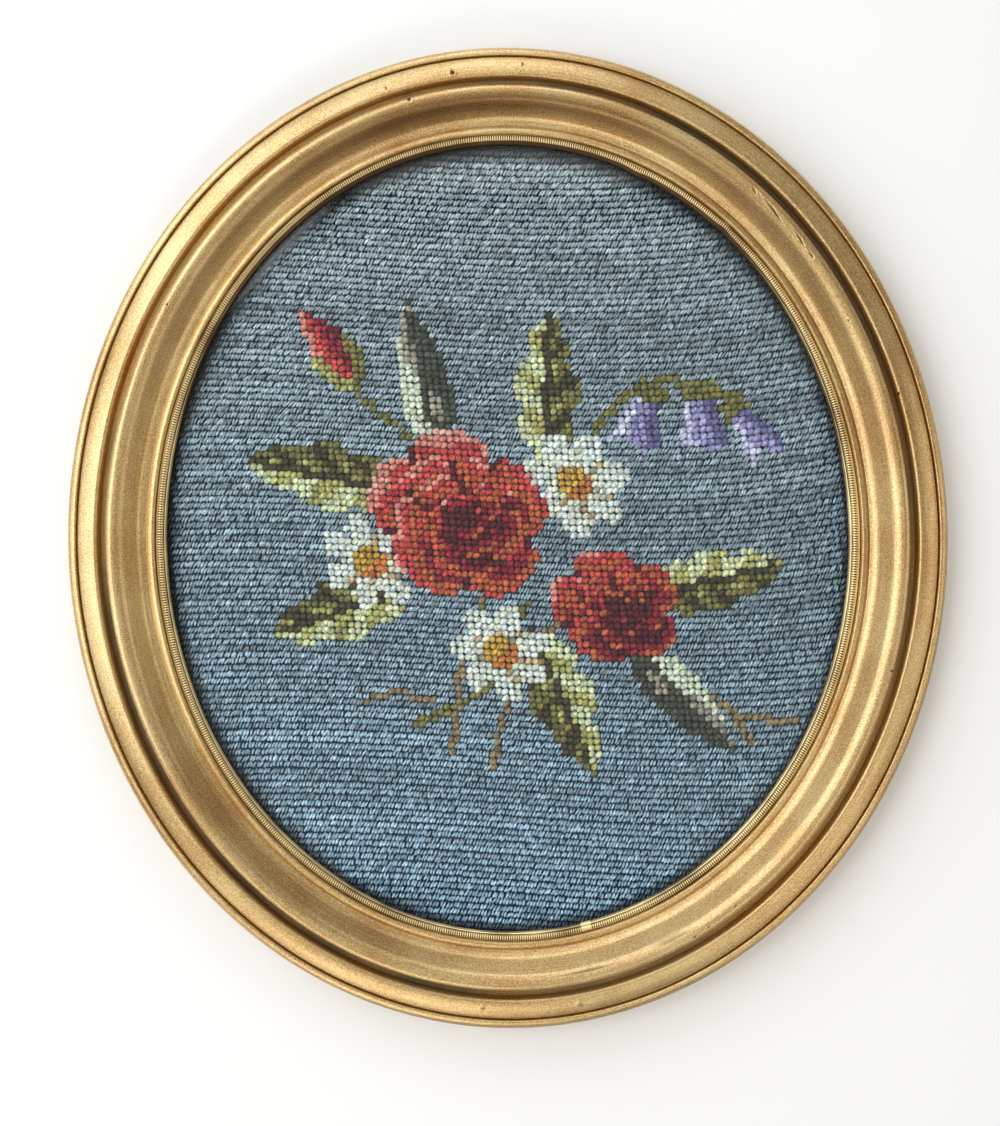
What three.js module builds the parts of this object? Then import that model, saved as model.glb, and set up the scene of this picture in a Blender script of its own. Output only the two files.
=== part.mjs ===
// Oval framed needlepoint picture, lying on its back.
//
// A turned wooden moulding with a gilt finish holds, from the front: a reeded brass slip, a sheet
// of glass, the stitched canvas and a plain backing board, all dropped into the rebate from behind.
//
// Millimetres. +Z points out of the picture's face, +Y is the picture's top, +X its right side.
// The origin is the middle of the back plane, which the frame lies on.

import * as THREE from 'three';

// Driving dimensions

const FRAME_WIDTH = 323;
const FRAME_HEIGHT = 360;
const OVAL_STEPS = 104;
const CLEARANCE = 0.3;

const REBATE_LEDGE = 9.3;
const REBATE_EDGE = 26.5;
const WOOD_SIGHT = 31.5;

const SLIP_FLANGE = 0.5;
const SLIP_FLANGE_REACH = 2.5;
const SLIP_SIGHT = 34.9;
const GLASS_THICKNESS = 2;
const CLOTH_THICKNESS = 2.5;
const BOARD_THICKNESS = 2.5;

// An oval lathe keeps each ring's two half axes a fixed throw apart, so the moulding has one
// section all round. A ring's place is therefore given by its short half axis alone.

const SHORT_HALF = FRAME_WIDTH / 2;
const THROW = (FRAME_HEIGHT - FRAME_WIDTH) / 2;

// Levels of the sheets, counted down from the rebate's ledge

const SLIP_BASE = REBATE_LEDGE - CLEARANCE - SLIP_FLANGE;
const GLASS_BASE = SLIP_BASE - CLEARANCE - GLASS_THICKNESS;
const CLOTH_BASE = GLASS_BASE - CLEARANCE - CLOTH_THICKNESS;
const BOARD_BASE = CLOTH_BASE - CLEARANCE - BOARD_THICKNESS;

// Sections, walked from the back of the outer side over the front to the sight edge.
// to: the member's end as [distance in from the frame's outer edge, height above the back plane].
// bend: the point that a curved member leans towards. steps: straight pieces in its curve.

const MOULDING_START = [1.5, 0];
const MOULDING = [
  { member: 'outer side', to: [0, 12.6] },
  { member: 'outer bead, rising', to: [2.9, 15.8], bend: [0.2, 15.5], steps: 3 },
  { member: 'outer bead, falling', to: [3.5, 14.8], bend: [3.4, 15.8], steps: 2 },
  { member: 'groove', to: [3.8, 14.2] },
  { member: 'ovolo, foot', to: [4.1, 15.5] },
  { member: 'ovolo, rising', to: [10.3, 17.7], bend: [6.8, 17.3], steps: 3 },
  { member: 'ovolo, falling', to: [12.1, 14.5], bend: [12.0, 17.8], steps: 4 },
  { member: 'trench', to: [14.7, 13.9], bend: [13.4, 13.1], steps: 2 },
  { member: 'ridge wall', to: [15.2, 19.1] },
  { member: 'ridge, outer round', to: [17.0, 20], bend: [15.9, 20], steps: 2 },
  { member: 'ridge, inner round', to: [21.0, 18.4], bend: [19.6, 19.8], steps: 3 },
  { member: 'slope', to: [25.0, 13.7], bend: [22.9, 16.2], steps: 2 },
  { member: 'cove', to: [27.2, 12.2], bend: [25.9, 12.6], steps: 3 },
  { member: 'hollow', to: [28.3, 11.9] },
  { member: 'sight bead, rising', to: [30.9, 13.1], bend: [29.3, 13.1], steps: 2 },
  { member: 'sight bead, falling', to: [WOOD_SIGHT, 11.3], bend: [31.5, 12.9], steps: 2 },
  { member: 'sight wall', to: [WOOD_SIGHT, REBATE_LEDGE] },
  { member: 'rebate ledge', to: [REBATE_EDGE, REBATE_LEDGE] },
  { member: 'rebate wall', to: [REBATE_EDGE, 0] },
  { member: 'back', to: MOULDING_START },
];

const SLIP_EDGE = WOOD_SIGHT + CLEARANCE;
const SLIP_START = [SLIP_EDGE - SLIP_FLANGE_REACH, SLIP_BASE];
const SLIP = [
  { member: 'flange end', to: [SLIP_EDGE - SLIP_FLANGE_REACH, SLIP_BASE + SLIP_FLANGE] },
  { member: 'flange top', to: [SLIP_EDGE, SLIP_BASE + SLIP_FLANGE] },
  { member: 'outer wall', to: [SLIP_EDGE, 10.8] },
  { member: 'reeded bead, rising', to: [32.6, 11.6], bend: [31.9, 11.6], steps: 2 },
  { member: 'reeded bead, falling', to: [33.9, 10.4], bend: [33.8, 11.6], steps: 2 },
  { member: 'lip', to: [34.6, 9.9] },
  { member: 'lip edge', to: [SLIP_SIGHT, 9.4] },
  { member: 'sight wall', to: [SLIP_SIGHT, SLIP_BASE] },
  { member: 'base', to: SLIP_START },
];

// Finishes

function finish(color, roughness, metalness) {
  return new THREE.MeshStandardMaterial({ color, roughness, metalness });
}

const GILT = finish(0xc39a55, 0.38, 0.85);
const BRASS = finish(0xd2ad68, 0.3, 0.95);
const PICTURE_GLASS = new THREE.MeshStandardMaterial({
  color: 0xf2f6f4, roughness: 0.05, metalness: 0, transparent: true, opacity: 0.2,
});
const SLATE_BLUE_WOOL = finish(0x6c7f8a, 0.95, 0);
const BOARD = finish(0x8a6a48, 0.9, 0);

// Solids

function sectionPoints(start, members) {
  const points = [new THREE.Vector2(...start)];
  for (const { to, bend, steps } of members) {
    const from = points.at(-1);
    const end = new THREE.Vector2(...to);
    const run = bend
      ? new THREE.QuadraticBezierCurve(from, new THREE.Vector2(...bend), end)
      : new THREE.LineCurve(from, end);
    points.push(...run.getPoints(steps ?? 1).slice(1));
  }
  return points;
}

function ovalRing(start, members) {
  const section = sectionPoints(start, members);
  const turned = section.map(({ x, y }) => new THREE.Vector2(SHORT_HALF - x, y));
  const geometry = new THREE.LatheGeometry(turned, OVAL_STEPS).rotateX(Math.PI / 2);
  const position = geometry.getAttribute('position');
  for (let i = 0; i < position.count; i += 1) {
    const x = position.getX(i);
    const y = position.getY(i);
    position.setY(i, y + (THROW * y) / Math.hypot(x, y));
  }
  geometry.computeVertexNormals();
  return geometry;
}

function ovalSheet(edge, thickness) {
  const shortHalf = SHORT_HALF - edge;
  const outline = new THREE.Shape().absellipse(0, 0, shortHalf, shortHalf + THROW, 0, 2 * Math.PI);
  return new THREE.ExtrudeGeometry(outline, {
    depth: thickness,
    bevelEnabled: false,
    curveSegments: OVAL_STEPS / 2,
  });
}

function piece(name, geometry, material, level = 0) {
  const mesh = new THREE.Mesh(geometry, material);
  mesh.name = name;
  mesh.position.z = level;
  return mesh;
}

const SHEET_EDGE = REBATE_EDGE + CLEARANCE;

const picture = new THREE.Group();
picture.add(
  piece('frame_moulding', ovalRing(MOULDING_START, MOULDING), GILT),
  piece('slip', ovalRing(SLIP_START, SLIP), BRASS),
  piece('glass', ovalSheet(SHEET_EDGE, GLASS_THICKNESS), PICTURE_GLASS, GLASS_BASE),
  piece('needlepoint', ovalSheet(SHEET_EDGE, CLOTH_THICKNESS), SLATE_BLUE_WOOL, CLOTH_BASE),
  piece('backing_board', ovalSheet(SHEET_EDGE, BOARD_THICKNESS), BOARD, BOARD_BASE),
);

export default picture;
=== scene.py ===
"""Oval needlepoint picture: the fine surfaces of its frame, slip, glass, stitches and board.

Laid out as a Blender add-on and run as a script. Metres, in the part's own frame: +Z points out of
the picture's face, +Y is the picture's top, and the origin is the middle of the back plane.
"""

import math
from collections import namedtuple

import bpy
import numpy as np
from bpy.props import FloatProperty, FloatVectorProperty, IntProperty, PointerProperty
from mathutils import Matrix, Vector


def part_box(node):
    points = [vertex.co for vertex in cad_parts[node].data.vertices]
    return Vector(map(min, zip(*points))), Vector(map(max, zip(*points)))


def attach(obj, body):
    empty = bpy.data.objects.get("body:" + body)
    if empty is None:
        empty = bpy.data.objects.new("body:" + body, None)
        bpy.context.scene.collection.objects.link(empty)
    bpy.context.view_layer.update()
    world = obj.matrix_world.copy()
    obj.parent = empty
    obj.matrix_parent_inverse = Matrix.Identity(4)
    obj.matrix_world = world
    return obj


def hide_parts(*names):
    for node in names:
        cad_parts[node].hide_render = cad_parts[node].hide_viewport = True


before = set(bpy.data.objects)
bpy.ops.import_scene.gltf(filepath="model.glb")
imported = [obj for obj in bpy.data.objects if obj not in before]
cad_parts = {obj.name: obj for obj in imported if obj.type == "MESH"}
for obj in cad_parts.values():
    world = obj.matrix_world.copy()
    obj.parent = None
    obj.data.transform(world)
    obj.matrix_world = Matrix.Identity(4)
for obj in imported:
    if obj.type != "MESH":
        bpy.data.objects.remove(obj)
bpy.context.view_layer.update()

bl_info = {
    "name": "Oval Needlepoint Picture",
    "version": (1, 0, 0),
    "blender": (4, 5, 0),
    "location": "3D View > Sidebar > Needlepoint",
    "description": "Dresses an oval needlepoint picture: gilt frame, slip, glass, wool stitches and board",
    "category": "Object",
}

MM = 0.001
BODY = "root"

FRAME_LOW, FRAME_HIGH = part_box("frame_moulding")
GLASS_LOW, GLASS_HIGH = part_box("glass")
CLOTH_LOW, CLOTH_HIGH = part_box("needlepoint")
BOARD_LOW, BOARD_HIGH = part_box("backing_board")

SHORT_HALF = (FRAME_HIGH.x - FRAME_LOW.x) / 2
THROW = (FRAME_HIGH.y - FRAME_LOW.y) / 2 - SHORT_HALF
MEAN_HALF = SHORT_HALF + THROW / 2
LIGHT_FROM = math.radians(130)


def linear(code):
    """A six-digit colour code as the linear red, green and blue that shaders take."""
    shares = [int(code[k:k + 2], 16) / 255 for k in (0, 2, 4)]
    return tuple(s / 12.92 if s <= 0.04045 else ((s + 0.055) / 1.055) ** 2.4 for s in shares)


# Settings that a user would change

def length(label, about, default):
    """A length in metres."""
    return FloatProperty(name=label, description=about, default=default, unit="LENGTH", precision=5)


def share(label, about, default):
    """A plain factor."""
    return FloatProperty(name=label, description=about, default=default, subtype="FACTOR")


def angle(label, about, degrees):
    """An angle, kept in radians."""
    return FloatProperty(name=label, description=about, default=math.radians(degrees), subtype="ANGLE")


def colour(label, about, code):
    """A colour, given by its code."""
    return FloatVectorProperty(
        name=label, description=about, default=linear(code), size=3, min=0, max=1, subtype="COLOR")


class MouldingSettings(bpy.types.PropertyGroup):
    """The turned wooden moulding."""

    turns: IntProperty(name="Steps round", description="Straight pieces round the oval", default=440)
    waver: length("Waver", "How far the turned members stray from a true oval", 0.09 * MM)
    # Painted shade: how far the hollow is darkened at the top.
    top_hollow_shade: share("Toning", "How far the hollow has darkened at the top", 0.9)
    gilt: colour("Gilt", "Gilding where it is whole", "e5cd95")
    gilt_deep: colour("Deep gilt", "Gilding in its darker clouds", "bd8f56")
    # The colour that the painted shade in the hollow takes the gilding towards.
    gilt_toned: colour("Toned gilt", "What darkening takes the gilding towards", "a08c66")
    rubbed: colour("Rubbed", "Brown ground under rubbed gilding", "6a4424")
    # Dark colour for soiling and for the painted shade in the grooves and the trench.
    grime: colour("Grime", "Old dirt in the grooves", "2c1c0d")
    bare: colour("Bare wood", "Unfinished back and rebate", "b48a5c")


class SlipSettings(bpy.types.PropertyGroup):
    """The reeded brass strip round the sight."""

    reed_pitch: length("Reed pitch", "From one reed to the next", 0.88 * MM)
    reed_depth: length("Reed depth", "Depth of the cuts between reeds", 0.22 * MM)
    oval: length("Oval", "How much longer the strip's oval is than the frame's sight", 0.45 * MM)
    lap_length: length("Lap length", "Plain tab where the strip's ends meet", 5.4 * MM)
    brass: colour("Brass", "Bright faces of the strip", "f6dfa8")
    brass_deep: colour("Deep brass", "Toned brass between the reeds", "563b1e")


class GlassSettings(bpy.types.PropertyGroup):
    """The picture glass."""

    tint: colour("Tint", "Light that passes the glass", "fbfdfc")
    edge: colour("Edge", "Ground edge of the glass", "a9c4b6")


class StitchSettings(bpy.types.PropertyGroup):
    """The stitched canvas."""

    across: length("Stitch width", "From one column of stitches to the next", 2.49 * MM)
    up: length("Stitch height", "From one row of stitches to the next", 2.40 * MM)
    lean: share("Column lean", "How far the columns lean left for each unit up", 0.087)
    strand_half_width: length("Strand half width", "Half the width of one strand of wool", 0.53 * MM)
    strand_half_depth: length("Strand half depth", "Half the thickness of one strand of wool", 0.60 * MM)
    strand_spread: length("Strand spread", "From the middle of a stitch to each strand", 0.56 * MM)
    canvas_depth: length("Canvas depth", "Thickness of the canvas under the wool", 0.7 * MM)
    hidden_edge: length("Hidden edge", "How far the stitches run under the slip", 2.2 * MM)
    # The width of the painted shadow on the wool beside the slip.
    slip_shadow_width: length("Dim edge", "How far dust dims the wool beside the slip", 2.6 * MM)
    hairs: IntProperty(name="Hairs", description="Loose wool hairs over the stitches", default=1000)
    # Dark blue-grey: painted shade in the gaps between the stitches.
    canvas: colour("Canvas", "Cotton canvas, dyed by the wool", "3e586a")
    seed: IntProperty(name="Seed", description="Start of the random draws", default=9450)


class YarnColours(bpy.types.PropertyGroup):
    """The wool on the needle, by name."""

    ground: colour("Ground", "Slate blue ground", "bac8d2")
    ivory: colour("Ivory", "Daisy petals in the light", "fbf8ea")
    cream: colour("Cream", "Daisy petals and leaf edges", "eeedd4")
    ecru: colour("Ecru", "Rose stamens and petal shade", "dcb890")
    taupe: colour("Taupe", "Deep petal shade", "b3a797")
    crimson_dark: colour("Dark crimson", "Rose shadow lines", "6a1626")
    crimson: colour("Crimson", "Rose shadow", "a3243a")
    rust: colour("Rust", "Rose half shade", "cf6a44")
    coral: colour("Coral", "Rose petals", "d9504f")
    salmon: colour("Salmon", "Rose petals in the light", "f79e8f")
    blush: colour("Blush", "Rose petal rims", "fdbfb1")
    lilac_pale: colour("Pale lilac", "Bellflower in the light", "ddd5ee")
    lilac: colour("Lilac", "Bellflower", "aea4cf")
    violet: colour("Violet", "Bellflower shade", "7a739f")
    violet_dark: colour("Dark violet", "Bellflower shadow", "565177")
    olive_dark: colour("Dark olive", "Leaf veins", "54492d")
    olive: colour("Olive", "Leaf in shade", "8d834b")
    olive_light: colour("Light olive", "Leaf in the light", "c3ba76")
    chartreuse: colour("Chartreuse", "Leaf rims", "ebe9bd")
    slate_olive: colour("Slate olive", "Blade leaves in shade", "55564a")
    stem: colour("Stem", "Stems and stamens", "a58a68")
    gold: colour("Gold", "Daisy hearts", "d8aa4c")
    amber: colour("Amber", "Daisy hearts in shade", "d98645")


class BoardSettings(bpy.types.PropertyGroup):
    """The plain board behind the canvas."""

    brown: colour("Board", "Pressed brown board", "8a6a48")
    fleck: colour("Fleck", "Darker fibres in the board", "5d4429")


class StageSettings(bpy.types.PropertyGroup):
    """Floor, lights and camera."""

    distance: length("Camera distance", "From the frame's face to the camera", 0.62)
    seen_height: length("Seen height", "Height of the view at the frame's face", 412.15 * MM)
    aside: length("Aside", "How far the view's middle lies left of the picture's", 3.14 * MM)
    below: length("Below", "How far the view's middle lies below the picture's", 9.14 * MM)
    roll: angle("Roll", "Turn of the camera about its axis", -1.5)
    light_distance: length("Light distance", "From the picture's middle to each soft box", 1.5)
    light_size: length("Light size", "Side of a soft box", 0.8)
    light_strength: share("Light strength", "Brightness of all the soft boxes", 1.0)
    sky: share("Sky", "Even light from all round", 0.06)
    floor: colour("Floor", "Pale floor", "f4f3f0")


class PictureSettings(bpy.types.PropertyGroup):
    """Everything that the picture is made from."""

    moulding: PointerProperty(type=MouldingSettings)
    slip: PointerProperty(type=SlipSettings)
    glass: PointerProperty(type=GlassSettings)
    stitches: PointerProperty(type=StitchSettings)
    yarns: PointerProperty(type=YarnColours)
    board: PointerProperty(type=BoardSettings)
    stage: PointerProperty(type=StageSettings)


# Shader maths

class Value:
    """A socket in a material. Arithmetic on it adds Math nodes."""

    def __init__(self, paint, socket):
        self.paint = paint
        self.socket = socket

    def math(self, operation, *values):
        """One step of arithmetic, as a Math node."""
        return self.paint.node("ShaderNodeMath", {"operation": operation}, dict(enumerate(values)))

    def __add__(self, other):
        return self.math("ADD", self, other)

    __radd__ = __add__

    def __sub__(self, other):
        return self.math("SUBTRACT", self, other)

    def __rsub__(self, other):
        return self.math("SUBTRACT", other, self)

    def __mul__(self, other):
        return self.math("MULTIPLY", self, other)

    __rmul__ = __mul__

    def __pow__(self, other):
        return self.math("POWER", self, other)

    def above(self, low, high):
        """0 below low, 1 above high, smooth between."""
        inputs = {"Value": self, "From Min": low, "From Max": high}
        return self.paint.node("ShaderNodeMapRange", {"interpolation_type": "SMOOTHSTEP"}, inputs)


class Paint:
    """A material and its nodes."""

    def __init__(self, name):
        self.material = bpy.data.materials.new(name)
        self.material.use_nodes = True
        self.tree = self.material.node_tree
        self.tree.nodes.clear()

    def node(self, kind, settings=None, inputs=None, output=0):
        """Adds a node: its settings first, then its sockets' values or links. Gives one output."""
        made = self.tree.nodes.new(kind)
        for name, setting in (settings or {}).items():
            setattr(made, name, setting)
        for name, given in (inputs or {}).items():
            if isinstance(given, Value):
                self.tree.links.new(given.socket, made.inputs[name])
            else:
                made.inputs[name].default_value = given
        return Value(self, made.outputs[output])

    def place(self):
        """The point on the piece, in metres."""
        return self.node("ShaderNodeTexCoord", output="Object")

    def map(self, name, across=1.0, up=1.0):
        """A point in one of the mesh's own maps, stretched."""
        return self.scaled(self.node("ShaderNodeUVMap", {"uv_map": name}), (across, up, 1))

    def scaled(self, vector, factors, lift=(0, 0, 0)):
        """A place or a colour with each of its three parts multiplied, then lifted."""
        inputs = {0: vector, 1: factors, 2: lift}
        return self.node("ShaderNodeVectorMath", {"operation": "MULTIPLY_ADD"}, inputs)

    def number(self, name):
        """A number that the mesh holds at each point."""
        return self.node("ShaderNodeAttribute", {"attribute_name": name}, output="Fac")

    def noise(self, place, scale, detail=2.0):
        """Soft clouds about 1 / scale across."""
        return self.node("ShaderNodeTexNoise", inputs={"Vector": place, "Scale": scale, "Detail": detail})

    def mix(self, amount, first, second, blend="MIX"):
        """One colour or another."""
        settings = {"data_type": "RGBA", "blend_type": blend}
        return self.node("ShaderNodeMix", settings, {0: amount, 6: first, 7: second}, output=2)

    def bump(self, height, strength, distance):
        """A normal that stands proud where height is large."""
        inputs = {"Height": height, "Strength": strength, "Distance": distance}
        return self.node("ShaderNodeBump", inputs=inputs)

    def finish(self, **sockets):
        """Ends in a Principled surface. An underscore in a socket's name stands for a space."""
        named = {name.replace("_", " "): given for name, given in sockets.items()}
        self.end(self.node("ShaderNodeBsdfPrincipled", inputs=named))
        return self.material

    def end(self, surface):
        """Ends in this shader."""
        out = self.tree.nodes.new("ShaderNodeOutputMaterial")
        self.tree.links.new(surface.socket, out.inputs["Surface"])


def rgba(tint):
    """A setting's colour with full alpha."""
    return (*tint, 1.0)


# Finishes

def gilding(tones):
    """Satin gilding: cloudy, finely speckled and rubbed brown on the ridge, darkened by soiling and painted
    shade in the grooves and the trench, and by painted shade in the hollow at the top.
    """
    paint = Paint("gilding")
    place = paint.place()
    clouds = paint.noise(place, 34, 4)
    grain = paint.noise(place, 2200, 3)
    specks = paint.noise(place, 3600, 2)
    turned = paint.noise(paint.map("sweep", 26, 1500), 1, 3)
    # Soiling and painted shade: in the grooves, the trench and the marks, and on the side away from the
    # light.
    grime = (paint.number("grime") + 0.5 * (clouds - 0.5) + 0.25 * (grain - 0.5)).above(0.22, 0.95)
    pits = specks.above(0.67, 0.72) * clouds.above(0.42, 0.60)
    rubbed = (paint.number("rub") * (0.35 + clouds + 0.5 * (turned - 0.5))).above(0.52, 0.72)
    tone = (0.2 * clouds + 0.45 * grain + 0.35 * specks + 0.15 * turned).above(0.50, 0.635)
    gold = paint.mix(tone, rgba(tones.gilt_deep), rgba(tones.gilt))
    # Painted shade in the hollow at the top.
    toned = paint.mix(paint.number("toned"), gold, rgba(tones.gilt_toned), "MULTIPLY")
    worn = paint.mix(rubbed * 0.75, toned, rgba(tones.rubbed))
    grimed_and_shaded = paint.mix(grime * 0.92, worn, rgba(tones.grime))
    dulled = (grime + rubbed + pits).above(0.0, 1.0)
    relief = 0.55 * grain + 0.3 * turned + 0.5 * specks - 1.2 * pits
    return paint.finish(
        Base_Color=paint.mix(pits * 0.8, grimed_and_shaded, rgba(tones.grime)),
        Metallic=0.86 - 0.56 * dulled,
        Roughness=0.30 + 0.14 * grain + 0.25 * dulled,
        Coat_Weight=0.9 - 0.7 * dulled,
        Coat_Roughness=0.34,
        Normal=paint.bump(relief, 0.8, 0.12 * MM),
    )


def bare_wood(tones):
    """Unfinished softwood at the back, with grain along the picture's height."""
    paint = Paint("bare_wood")
    along = paint.scaled(paint.place(), (1, 0.06, 1))
    grain = paint.noise(along, 260, 5)
    streaks = paint.noise(along, 900, 3)
    tone = (0.7 * grain + 0.3 * streaks).above(0.36, 0.64)
    dark = tuple(0.55 * part for part in tones.bare)
    return paint.finish(
        Base_Color=paint.mix(tone, rgba(dark), rgba(tones.bare)),
        Roughness=0.72 + 0.2 * streaks,
        Normal=paint.bump(grain + streaks, 0.3, 0.15 * MM),
    )


def slip_brass(tones):
    """Toned brass strip, bright on the reeds and brown between them, where soiling and painted shade lie,
    with a painted shadow on the lip at the top.
    """
    paint = Paint("slip_brass")
    place = paint.place()
    clouds = paint.noise(place, 48, 5)
    grain = paint.noise(place, 1900, 2)
    grime = (paint.number("grime") + 0.9 * (clouds - 0.5)).above(0.25, 1.0)
    tone = paint.mix(grime, rgba(tones.brass), rgba(tones.brass_deep))
    return paint.finish(
        Base_Color=paint.mix(clouds.above(0.55, 0.75) * 0.35, tone, rgba(tones.brass_deep)),
        Metallic=0.72 - 0.3 * grime,
        Roughness=0.28 + 0.16 * grain + 0.2 * grime,
        Normal=paint.bump(grain, 0.12, 0.04 * MM),
    )


def picture_glass(tones):
    """Clear glass: it lets light straight through and mirrors more at a glancing angle."""
    paint = Paint("picture_glass")
    facing = paint.node("ShaderNodeLayerWeight", inputs={"Blend": 0.5}, output="Facing")
    clear = paint.node("ShaderNodeBsdfTransparent", inputs={"Color": rgba(tones.tint)})
    mirror = paint.node("ShaderNodeBsdfAnisotropic", inputs={"Color": (1, 1, 1, 1), "Roughness": 0.03})
    paint.end(paint.node("ShaderNodeMixShader", inputs={0: 0.035 + 0.9 * facing ** 5, 1: clear, 2: mirror}))
    return paint.material


def glass_edge(tones):
    """The ground rim of the glass, hidden in the rebate."""
    paint = Paint("glass_edge")
    grain = paint.noise(paint.place(), 1500, 2)
    return paint.finish(Base_Color=rgba(tones.edge), Roughness=0.45 + 0.2 * grain, Alpha=0.85)


def wool(name):
    """Tapestry wool: each strand has its own colour and fine fibres along it, with a pale painted highlight
    along its top and a bluer painted shade on its sides and ends.
    """
    paint = Paint(name)
    dyed = paint.node("ShaderNodeAttribute", {"attribute_name": "dye"}, output="Color")
    fibres = paint.noise(paint.map("yarn", 1.5, 4), 1, 2)
    fluff = paint.noise(paint.place(), 1300, 2)
    # Painted shade low on each strand and a painted highlight along its top, picked by each point's height
    # on the strand.
    crown_lit = paint.number("crown").above(-0.45, 0.85)
    lit = 0.55 * fibres.above(0.38, 0.62) + 0.45 * fluff.above(0.40, 0.60)
    shade = paint.scaled(dyed, (0.39, 0.53, 0.65))
    light = paint.scaled(dyed, (1.44, 1.33, 1.25), (0.05, 0.05, 0.05))
    return paint.finish(
        Base_Color=paint.mix(crown_lit * (0.2 + 0.8 * lit), shade, light),
        Roughness=0.9,
        Specular_IOR_Level=0.2,
        Sheen_Weight=0.2,
        Sheen_Roughness=0.5,
        Normal=paint.bump(fibres + 0.5 * fluff, 0.8, 0.3 * MM),
    )


def wool_hair(yarns):
    """Loose fibres of the ground's wool, paler in places."""
    paint = Paint("wool_hair")
    fade = paint.noise(paint.place(), 400, 2)
    pale = tuple(0.5 + 0.5 * part for part in yarns.ground)
    return paint.finish(Base_Color=paint.mix(fade, rgba(yarns.ground), rgba(pale)), Roughness=0.6)


def cotton_canvas(settings):
    """Open cotton canvas, one thread for each row and column of stitches, kept dark blue-grey as painted
    shade in the gaps between the stitches.
    """
    paint = Paint("cotton_canvas")
    place = paint.place()
    weave = paint.node("ShaderNodeTexBrick", {"offset": 0.5}, {
        "Vector": place, "Scale": 1, "Brick Width": settings.across, "Row Height": settings.up / 2,
        "Mortar Size": 0.2 * MM, "Mortar Smooth": 1.0}, output="Fac")
    fibres = paint.noise(place, 2600, 3)
    dark = tuple(0.5 * part for part in settings.canvas)
    return paint.finish(
        Base_Color=paint.mix(weave, rgba(settings.canvas), rgba(dark)),
        Roughness=0.9,
        Normal=paint.bump(0.4 * fibres - weave, 0.6, 0.3 * MM),
    )


def pressed_board(tones):
    """Plain pressed board with dark fibres."""
    paint = Paint("pressed_board")
    place = paint.place()
    fibres = paint.noise(place, 700, 5)
    flecks = paint.noise(place, 1600, 2).above(0.58, 0.70)
    clouds = paint.noise(place, 18, 3)
    tone = paint.mix(0.5 * fibres + 0.5 * clouds, rgba(tones.fleck), rgba(tones.brown))
    return paint.finish(
        Base_Color=paint.mix(flecks * 0.5, tone, rgba(tones.fleck)),
        Roughness=0.82 + 0.1 * fibres,
        Normal=paint.bump(fibres, 0.25, 0.12 * MM),
    )


def pale_floor(tint):
    """Matt floor."""
    paint = Paint("pale_floor")
    grain = paint.noise(paint.place(), 90, 4)
    return paint.finish(
        Base_Color=rgba(tint),
        Roughness=0.85,
        Specular_IOR_Level=0.1,
        Normal=paint.bump(grain, 0.03, 0.2 * MM),
    )


# Meshes from arrays

def mesh_piece(name, points, faces, materials):
    """An object from points and from arrays of faces with the same number of corners each."""
    mesh = bpy.data.meshes.new(name)
    corners = np.concatenate([block.ravel() for block in faces])
    sizes = np.concatenate([np.full(len(block), block.shape[1]) for block in faces])
    mesh.vertices.add(len(points))
    mesh.vertices.foreach_set("co", np.asarray(points, np.float32).ravel())
    mesh.loops.add(len(corners))
    mesh.loops.foreach_set("vertex_index", corners.astype(np.int32))
    mesh.polygons.add(len(sizes))
    mesh.polygons.foreach_set("loop_start", (np.cumsum(sizes) - sizes).astype(np.int32))
    mesh.polygons.foreach_set("use_smooth", np.ones(len(sizes), bool))
    mesh.update(calc_edges=True)
    if mesh.validate():
        raise RuntimeError(f"{name} has faces that don't fit together")
    for material in materials:
        mesh.materials.append(material)
    piece = bpy.data.objects.new(name, mesh)
    bpy.context.scene.collection.objects.link(piece)
    return piece


def hold_numbers(piece, name, values):
    """Keeps one number at each point of the mesh."""
    held = piece.data.attributes.new(name, "FLOAT", "POINT")
    held.data.foreach_set("value", values.astype(np.float32).ravel())


def hold_map(piece, name, corners):
    """Keeps one place in a map at each corner of the mesh."""
    piece.data.uv_layers.new(name=name).uv.foreach_set("vector", corners.astype(np.float32).ravel())


def belongs(piece, slot, *nodes):
    """The piece rides on the picture and stands for these solids. slot is not used."""
    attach(piece, BODY)
    if nodes:
        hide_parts(*nodes)


# Sections in millimetres: distance in from the outer edge, and height. They follow the part's source,
# with finer curves and with some members divided for their wear and painted shade.
# The soiling and painted shade of each member, and its rub, are what it has at its end; the painted shade
# darkens the grooves, the trench and the hollows. bare: the member has no finish.

Member = namedtuple("Member", "name to bend steps grime rub bare")

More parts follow.
